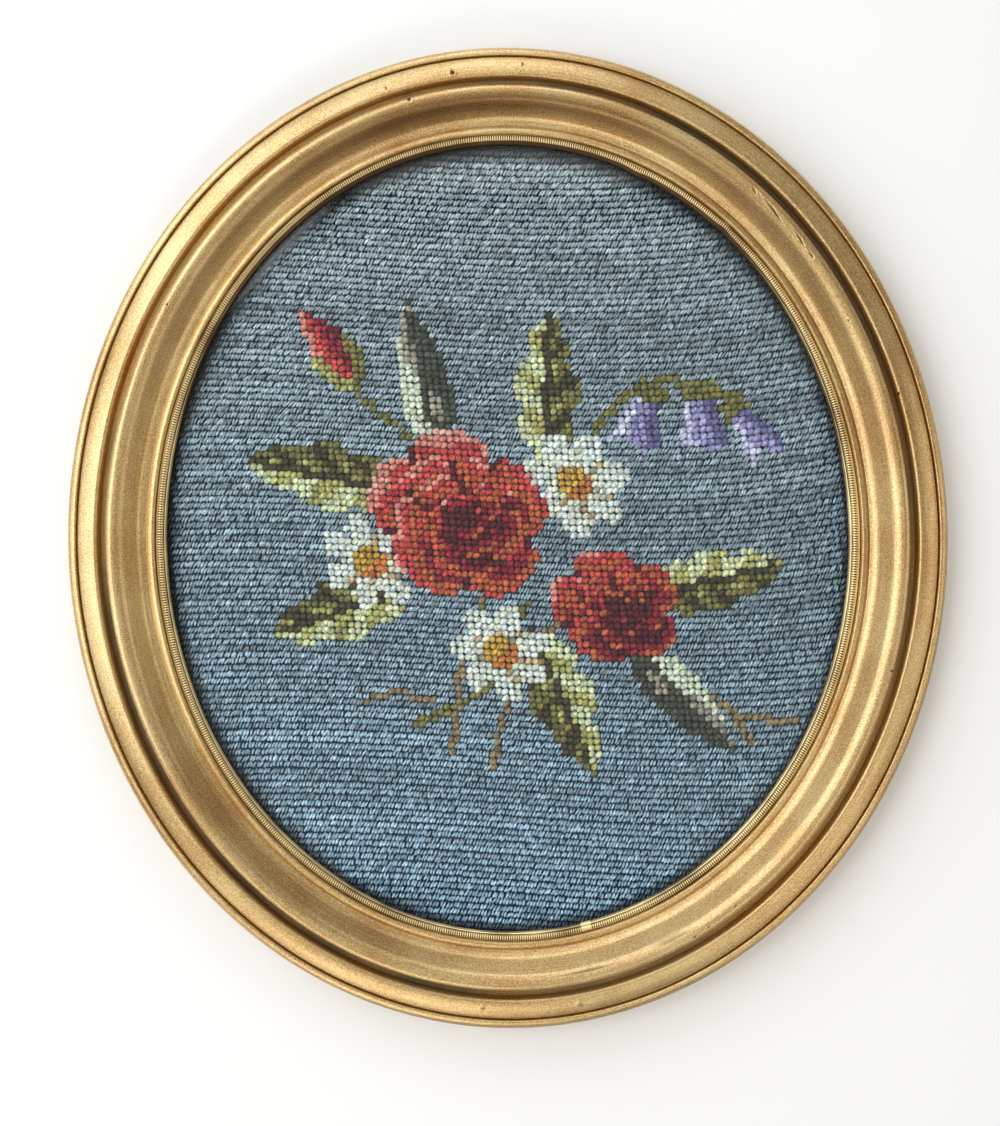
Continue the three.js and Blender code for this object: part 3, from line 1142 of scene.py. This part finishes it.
def canvas_place(x, y, lean):
    """Where a point of the true canvas grid lies once the canvas is pulled askew."""
    u = x / BOW_SPAN[0]
    v = y / BOW_SPAN[1]
    bow = -4.7 * u + 2.1 * u ** 2 + 0.8 * u * v + 1.65 * u ** 2 * v + 3.2 * u ** 3
    return x - lean * y, y + ROW_BOW * bow


def painted_slip_shadow(x, y, slip_shadow_width):
    """Painted shadow on the wool beside the slip, deepest and widest on the side the light comes from: 1
    where it is clear of it.
    """
    rim = np.clip(1 - np.hypot(x / SIGHT_HALF, y / (SIGHT_HALF + THROW)), 0, 1) * SIGHT_HALF
    lit_side = np.cos(np.arctan2(y, x) - LIGHT_FROM)
    return 1 - (0.85 + 0.12 * lit_side) * np.exp(-(rim / (slip_shadow_width * (1 + 0.4 * lit_side))) ** 2)


def ground_drift(chart):
    """How the ground's tone and hue drift: paler at the top and bottom than in the middle, darker towards
    the right, redder towards the top.
    """
    up = chart.y / DRIFT_ROWS
    pale = 0.88 + 0.21 * up ** 2 - 0.04 * up - 0.08 * chart.x / DRIFT_COLUMNS
    return pale[..., None] * (1 + np.clip(up, -1, 1)[..., None] * np.array(TOP_TINT))


def work_stitches(settings, yarns):
    """Every stitch inside the sight: its place, its slant, its wool and its colour."""
    random = np.random.default_rng(settings.seed)
    chart = posy_chart()
    across, up, lean = settings.across, settings.up, settings.lean
    x, y = canvas_place(chart.x * across, chart.y * up, lean)
    centre = np.stack([x, y], -1)
    right = np.stack(canvas_place((chart.x + 1) * across, chart.y * up, lean), -1) - centre
    above = np.stack(canvas_place(chart.x * across, (chart.y + 1) * up, lean), -1) - centre

    half_x = SIGHT_HALF + settings.hidden_edge
    inside = (x / half_x) ** 2 + (y / (half_x + THROW)) ** 2 < 1
    ground = chart.wool == YARN_NAMES.index("ground")

    low_down = np.clip(0.45 - chart.y / 60, 0, 1) * ground
    lean_share = np.where(ground, 0.42 - 0.12 * low_down, 0.40) + random.normal(0, 0.05, x.shape)
    rise_share = np.where(ground, 0.49, 0.50) + random.normal(0, 0.03, x.shape)
    half = lean_share[..., None] * right + rise_share[..., None] * above
    pair = 0.03 * low_down * np.where(chart.y % 2, 1, -1)
    centre = centre + pair[..., None] * above + random.normal(0, 0.07 * MM, centre.shape)

    row_tone = random.normal(0, 0.07, (x.shape[0], 1))
    runs = np.cumsum(random.normal(0, 0.022, x.shape), axis=1)
    runs = runs - runs.mean(axis=1, keepdims=True)
    uneven = np.where(ground, row_tone + np.clip(runs, -0.12, 0.12), 0)
    tone = 1 + uneven + random.normal(0, 0.08, x.shape)
    dyes = np.array([list(getattr(yarns, name)) for name in YARN_NAMES])
    # The ground's tone and hue drift over the picture.
    drift = np.where(ground[..., None], ground_drift(chart), 1.0)
    # Each stitch's own tone, times the painted shadow beside the slip.
    light = tone * painted_slip_shadow(x, y, settings.slip_shadow_width)
    dye = np.clip(dyes[chart.wool] * light[..., None] * drift, 0, 1)

    plump = np.where(ground, 1.0, 2.05) + random.normal(0, 0.06, x.shape)
    apart = np.where(ground, 1.0, 0.45)
    worked = {"centre": centre, "half": half, "wool": chart.wool, "dye": dye, "plump": plump,
              "apart": apart, "along_row": right}
    return {name: values[inside] for name, values in worked.items()}


def part_strands(stitches, settings):
    """Parts each stitch into its two strands, each with its own place, slant, height and tone."""
    random = np.random.default_rng(settings.seed + 2)
    centre, half = stitches["centre"], stitches["half"]
    shape = (len(centre), len(STRANDS))
    across = stitches["along_row"] / np.linalg.norm(stitches["along_row"], axis=1, keepdims=True)
    spread = settings.strand_spread * stitches["apart"][:, None] * (STRANDS + random.normal(0, 0.16, shape))
    slip_along = random.normal(0, 0.1, shape)
    place = centre[:, None] + spread[..., None] * across[:, None] + slip_along[..., None] * half[:, None]
    span = np.linalg.norm(half, axis=1)[:, None, None]
    slant = random.normal(0, 0.13, shape)[..., None] * across[:, None] * span
    reach = half[:, None] * random.normal(1.0, 0.06, shape)[..., None] + slant
    tone = np.clip(random.normal(1.0, 0.16, shape), 0.6, 1.3)
    return {"place": place.reshape(-1, 2), "reach": reach.reshape(-1, 2),
            "wool": np.repeat(stitches["wool"], len(STRANDS)),
            "dye": np.clip(stitches["dye"][:, None] * tone[..., None], 0, 1).reshape(-1, 3),
            "girth": (stitches["plump"][:, None] * random.normal(1.0, 0.09, shape)).ravel(),
            "lift": np.clip(random.normal(-0.08 * MM, 0.1 * MM, shape), -0.35 * MM, 0.03 * MM).ravel()}


def stitch_piece(name, strands, chosen, settings, material):
    """Joins the chosen strands into one mesh."""
    form, quads, caps, quad_map, cap_map = strand_form()
    reach = strands["reach"][chosen]
    girth = strands["girth"][chosen]
    count = len(reach)
    side = np.stack([-reach[:, 1], reach[:, 0]], -1) / np.linalg.norm(reach, axis=1, keepdims=True)
    side = side * (girth * settings.strand_half_width)[:, None]
    flat = (strands["place"][chosen][:, None] + form[None, :, 0, None] * reach[:, None]
            + form[None, :, 1, None] * side[:, None])
    crown = CLOTH_HIGH.z - settings.strand_half_depth - 0.05 * MM
    dive = crown - (CLOTH_LOW.z + settings.canvas_depth + 0.15 * MM)
    arch = crown - dive * np.abs(form[:, 0]) ** 2.4
    height = arch[None] + form[None, :, 2] * settings.strand_half_depth + strands["lift"][chosen][:, None]
    points = np.concatenate([flat, height[..., None]], -1).reshape(-1, 3)
    step = np.arange(count)[:, None, None] * len(form)
    faces = [(quads[None] + step).reshape(-1, 4), (caps[None] + step).reshape(-1, 3)]
    piece = mesh_piece(name, points, faces, [material])
    # How high each point sits on its strand, lower towards its ends: the wool turns this into painted shade
    # and highlight.
    hold_numbers(piece, "crown", np.tile(form[:, 2] - 0.7 * np.abs(form[:, 0]) ** 2, count))
    colours = piece.data.color_attributes.new("dye", "FLOAT_COLOR", "POINT")
    dye = np.concatenate([strands["dye"][chosen], np.ones((count, 1))], 1)
    colours.data.foreach_set("color", np.repeat(dye, len(form), axis=0).astype(np.float32).ravel())

    cells = math.ceil(math.sqrt(count))
    number = np.arange(count)
    corner = np.stack([number % cells, number // cells], -1)
    local = [np.tile(block.reshape(1, -1, 2), (count, 1, 1)) for block in (quad_map, cap_map)]
    own = [(corner[:, None] + MAP_MARGIN + (1 - 2 * MAP_MARGIN) * block) / cells for block in local]
    strand = [block + MAP_STEP * corner[:, None] for block in local]
    hold_map(piece, "OFBake", np.concatenate([block.reshape(-1, 2) for block in own]))
    hold_map(piece, "yarn", np.concatenate([block.reshape(-1, 2) for block in strand]))
    belongs(piece, "wool_needlepoint")
    return piece


GROUND_BANDS = tuple(f"ground_stitches_{band}" for band in ("bottom", "lower", "upper", "top"))


def make_stitches(settings, yarns):
    """Works the whole picture, a piece for each family of wool and each band of the ground."""
    strands = part_strands(work_stitches(settings, yarns), settings)
    material = wool("tapestry_wool")
    pieces = []
    for name, family in YARN_FAMILIES.items():
        chosen = np.isin(strands["wool"], [YARN_NAMES.index(yarn) for yarn in family])
        pieces.append(stitch_piece(name, strands, chosen, settings, material))
    ground = np.flatnonzero(strands["wool"] == YARN_NAMES.index("ground"))
    order = ground[np.argsort(strands["place"][ground, 1], kind="stable")]
    for name, chosen in zip(GROUND_BANDS, np.array_split(order, len(GROUND_BANDS))):
        pieces.append(stitch_piece(name, strands, chosen, settings, material))
    return pieces


# Loose wool hairs

HAIR_TAPER = (0.5, 1, 1, 1, 0.9, 0.4)
HAIR_STEPS = len(HAIR_TAPER)
HAIR_SIDES = 3
LINT = (-98.2 * MM, 86.7 * MM)
LINT_SPAN = 6 * MM
LINT_THICK = 0.16 * MM


def hair_roots(settings, random):
    """Where hairs start: anywhere on the ground, and the first of them at a bit of lint."""
    away = 0.95 * np.sqrt(random.random(settings.hairs))
    around = 2 * math.pi * random.random(settings.hairs)
    x = SIGHT_HALF * away * np.cos(around)
    y = (SIGHT_HALF + THROW) * away * np.sin(around)
    x[0], y[0] = LINT
    row = np.round((2 * y - canvas_place(x, y, 0)[1]) / settings.up).astype(int) + CHART_HALF_ROWS
    column = np.round((x + settings.lean * y) / settings.across).astype(int) + CHART_HALF_COLUMNS
    on_ground = posy_chart().wool[row, column] == YARN_NAMES.index("ground")
    return np.stack([x, y], -1)[on_ground]


def hair_faces(count):
    """The long sides of this many hairs, and their ends."""
    spot = np.arange(HAIR_SIDES)
    after = (spot + 1) % HAIR_SIDES
    here = np.arange(HAIR_STEPS - 1)[:, None] * HAIR_SIDES
    there = here + HAIR_SIDES
    walls = np.stack(np.broadcast_arrays(here + spot, there + spot, there + after, here + after), -1)
    tips = np.stack([spot[::-1], spot + (HAIR_STEPS - 1) * HAIR_SIDES])
    offset = np.arange(count)[:, None, None] * HAIR_STEPS * HAIR_SIDES
    return [(walls.reshape(1, -1, 4) + offset).reshape(-1, 4), (tips[None] + offset).reshape(-1, 3)]


def make_hairs(settings, yarns):
    """Scatters fine curved hairs over the stitches."""
    random = np.random.default_rng(settings.seed + 1)
    start = hair_roots(settings, random)
    count = len(start)
    span = random.uniform(1.2, 4.5, count) * MM
    span[0] = LINT_SPAN
    heading = random.uniform(0, 2 * math.pi, count)
    curl = random.normal(0, 0.9, count)
    share_along = np.linspace(0, 1, HAIR_STEPS)
    turn = heading[:, None] + curl[:, None] * share_along[None] * 1.5
    step = span[:, None] / (HAIR_STEPS - 1)
    path = np.cumsum(np.stack([np.cos(turn) * step, np.sin(turn) * step], -1), axis=1) + start[:, None]
    low = CLOTH_HIGH.z - 0.25 * MM
    high = GLASS_LOW.z - 0.08 * MM
    arch = np.sin(math.pi * share_along)[None] * random.uniform(0.2, 1.0, count)[:, None]
    level = low + (high - low) * arch
    thick = random.uniform(0.06, 0.11, count) * MM
    thick[0] = LINT_THICK
    aside = np.stack([-np.sin(turn), np.cos(turn)], -1)
    taper = np.array(HAIR_TAPER)[None] * thick[:, None]
    rings = []
    for side in range(HAIR_SIDES):
        round_at = 2 * math.pi * side / HAIR_SIDES
        flat = path + aside * (taper * math.cos(round_at))[..., None]
        rings.append(np.concatenate([flat, (level + taper * math.sin(round_at))[..., None]], -1))
    points = np.stack(rings, 2).reshape(-1, 3)
    piece = mesh_piece("wool_hairs", points, hair_faces(count), [wool_hair(yarns)])
    belongs(piece, "wool_needlepoint")
    return piece


# Canvas

def canvas_ripple(x, y):
    """Small unevenness of the stretched canvas."""
    return 0.04 * MM * np.sin(x / (9 * MM) + 0.4) * np.sin(y / (11 * MM))


def make_canvas(settings, yarns):
    """Stretches the canvas on the board and works the stitches on it."""
    top = Vector((CLOTH_HIGH.x, CLOTH_HIGH.y, CLOTH_LOW.z + settings.canvas_depth))
    materials = [cotton_canvas(settings)]
    canvas = oval_sheet("canvas", CLOTH_LOW, top, 0.1 * MM, CANVAS_RINGS, materials, canvas_ripple)
    belongs(canvas, "wool_needlepoint", "needlepoint")
    on_it = make_stitches(settings, yarns)
    on_it.append(make_hairs(settings, yarns))


# Stage

# Soft boxes round about, the strongest at the left and top. Those are a little cooler than the rest.
# lean: degrees from straight above. turn: degrees from the picture's right.

SoftBox = namedtuple("SoftBox", "name lean turn brightness tint")

COOL = (0.96, 1.0, 1.05)
WARM = (1.04, 1.0, 0.95)
SOFT_BOXES = (
    SoftBox("overhead", 0, 0, 0.2, WARM),
    SoftBox("high_top", 32, 90, 0.5, WARM),
    SoftBox("high_upper_left", 32, 135, 1.7, COOL),
    SoftBox("high_left", 32, 180, 2.4, COOL),
    SoftBox("middle_bottom", 55, 258, 1.7, WARM),
    SoftBox("high_lower_right", 32, 315, 1.15, WARM),
    SoftBox("low_right", 62, 0, 1.2, WARM),
    SoftBox("low_upper_right", 62, 45, 0.4, WARM),
    SoftBox("low_top", 62, 90, 2.1, COOL),
    SoftBox("low_upper_left", 62, 135, 2.2, COOL),
    SoftBox("low_left", 62, 180, 1.7, COOL),
    SoftBox("low_lower_left", 62, 232, 1.1, WARM),
    SoftBox("low_lower_right", 62, 315, 0.9, WARM),
)
FLOOR_HALF = 4.0

# The frame's face, for the camera, as a share of the frame's height.
CAMERA_LEVEL = 0.75


def soft_box(box, settings):
    """A square light that faces the picture's middle."""
    lean, turn = math.radians(box.lean), math.radians(box.turn)
    away = Vector((math.sin(lean) * math.cos(turn), math.sin(lean) * math.sin(turn), math.cos(lean)))
    lamp = bpy.data.lights.new(box.name, "AREA")
    lamp.shape = "SQUARE"
    lamp.size = settings.light_size
    lamp.color = box.tint
    lamp.energy = math.pi * settings.light_size ** 2 * box.brightness * settings.light_strength
    light = bpy.data.objects.new(box.name, lamp)
    light.location = settings.light_distance * away
    light.rotation_euler = away.to_track_quat("Z", "Y").to_euler()
    bpy.context.scene.collection.objects.link(light)


def make_stage(settings):
    """Floor, soft lights and the camera straight above the picture."""
    scene = bpy.context.scene
    corners = FLOOR_HALF * np.array([[-1, -1, 0], [1, -1, 0], [1, 1, 0], [-1, 1, 0]])
    floor = mesh_piece("floor", corners, [np.array([[0, 1, 2, 3]])], [pale_floor(settings.floor)])

    for box in SOFT_BOXES:
        soft_box(box, settings)
    world = bpy.data.worlds.new("soft_sky")
    world.use_nodes = True
    background = world.node_tree.nodes["Background"]
    background.inputs["Color"].default_value = (1, 1, 1, 1)
    background.inputs["Strength"].default_value = settings.sky
    scene.world = world
    scene.view_settings.view_transform = "Standard"
    scene.view_settings.look = "Medium High Contrast"

    lens = bpy.data.cameras.new("camera")
    lens.lens = lens.sensor_width * settings.distance / settings.seen_height
    camera = bpy.data.objects.new("camera", lens)
    face = FRAME_HIGH.z * CAMERA_LEVEL
    camera.matrix_world = (Matrix.Translation((-settings.aside, -settings.below, face + settings.distance))
                           @ Matrix.Rotation(settings.roll, 4, "Z"))
    scene.collection.objects.link(camera)
    scene.camera = camera


# Operators

class NEEDLEPOINT_OT_moulding(bpy.types.Operator):
    """Sweep the gilt moulding round the oval"""

    bl_idname = "needlepoint.moulding"
    bl_label = "Gilt moulding"

    def execute(self, context):
        make_moulding(context.scene.needlepoint_picture.moulding)
        return {"FINISHED"}


class NEEDLEPOINT_OT_slip(bpy.types.Operator):
    """Bend the reeded brass slip round the sight"""

    bl_idname = "needlepoint.slip"
    bl_label = "Reeded slip"

    def execute(self, context):
        make_slip(context.scene.needlepoint_picture.slip)
        return {"FINISHED"}


class NEEDLEPOINT_OT_board(bpy.types.Operator):
    """Fit the plain board behind the canvas"""

    bl_idname = "needlepoint.board"
    bl_label = "Backing board"

    def execute(self, context):
        make_board(context.scene.needlepoint_picture.board)
        return {"FINISHED"}


class NEEDLEPOINT_OT_canvas(bpy.types.Operator):
    """Stretch the canvas and work its stitches"""

    bl_idname = "needlepoint.canvas"
    bl_label = "Canvas and stitches"

    def execute(self, context):
        picture = context.scene.needlepoint_picture
        make_canvas(picture.stitches, picture.yarns)
        return {"FINISHED"}


class NEEDLEPOINT_OT_glass(bpy.types.Operator):
    """Lay the glass over the stitches"""

    bl_idname = "needlepoint.glass"
    bl_label = "Picture glass"

    def execute(self, context):
        make_glass(context.scene.needlepoint_picture.glass)
        return {"FINISHED"}


class NEEDLEPOINT_OT_stage(bpy.types.Operator):
    """Set the floor, the lights and the camera"""

    bl_idname = "needlepoint.stage"
    bl_label = "Stage"

    def execute(self, context):
        make_stage(context.scene.needlepoint_picture.stage)
        return {"FINISHED"}


OPERATORS = (
    NEEDLEPOINT_OT_stage,
    NEEDLEPOINT_OT_moulding,
    NEEDLEPOINT_OT_slip,
    NEEDLEPOINT_OT_board,
    NEEDLEPOINT_OT_canvas,
    NEEDLEPOINT_OT_glass,
)


class NEEDLEPOINT_PT_panel(bpy.types.Panel):
    """Lists the steps that make the picture"""

    bl_label = "Needlepoint picture"
    bl_space_type = "VIEW_3D"
    bl_region_type = "UI"
    bl_category = "Needlepoint"

    def draw(self, context):
        for operator in OPERATORS:
            self.layout.operator(operator.bl_idname)


SETTINGS = (MouldingSettings, SlipSettings, GlassSettings, StitchSettings, YarnColours, BoardSettings,
            StageSettings, PictureSettings)
CLASSES = (*SETTINGS, *OPERATORS, NEEDLEPOINT_PT_panel)


def register():
    """Adds the settings, the operators and the panel."""
    for made in CLASSES:
        bpy.utils.register_class(made)
    bpy.types.Scene.needlepoint_picture = PointerProperty(type=PictureSettings)


def unregister():
    """Takes them away again."""
    del bpy.types.Scene.needlepoint_picture
    for made in reversed(CLASSES):
        bpy.utils.unregister_class(made)


def main():
    """Makes the whole picture on its stage."""
    register()
    bpy.ops.needlepoint.stage()
    bpy.ops.needlepoint.moulding()
    bpy.ops.needlepoint.slip()
    bpy.ops.needlepoint.board()
    bpy.ops.needlepoint.canvas()
    bpy.ops.needlepoint.glass()


if __name__ == "__main__":
    main()
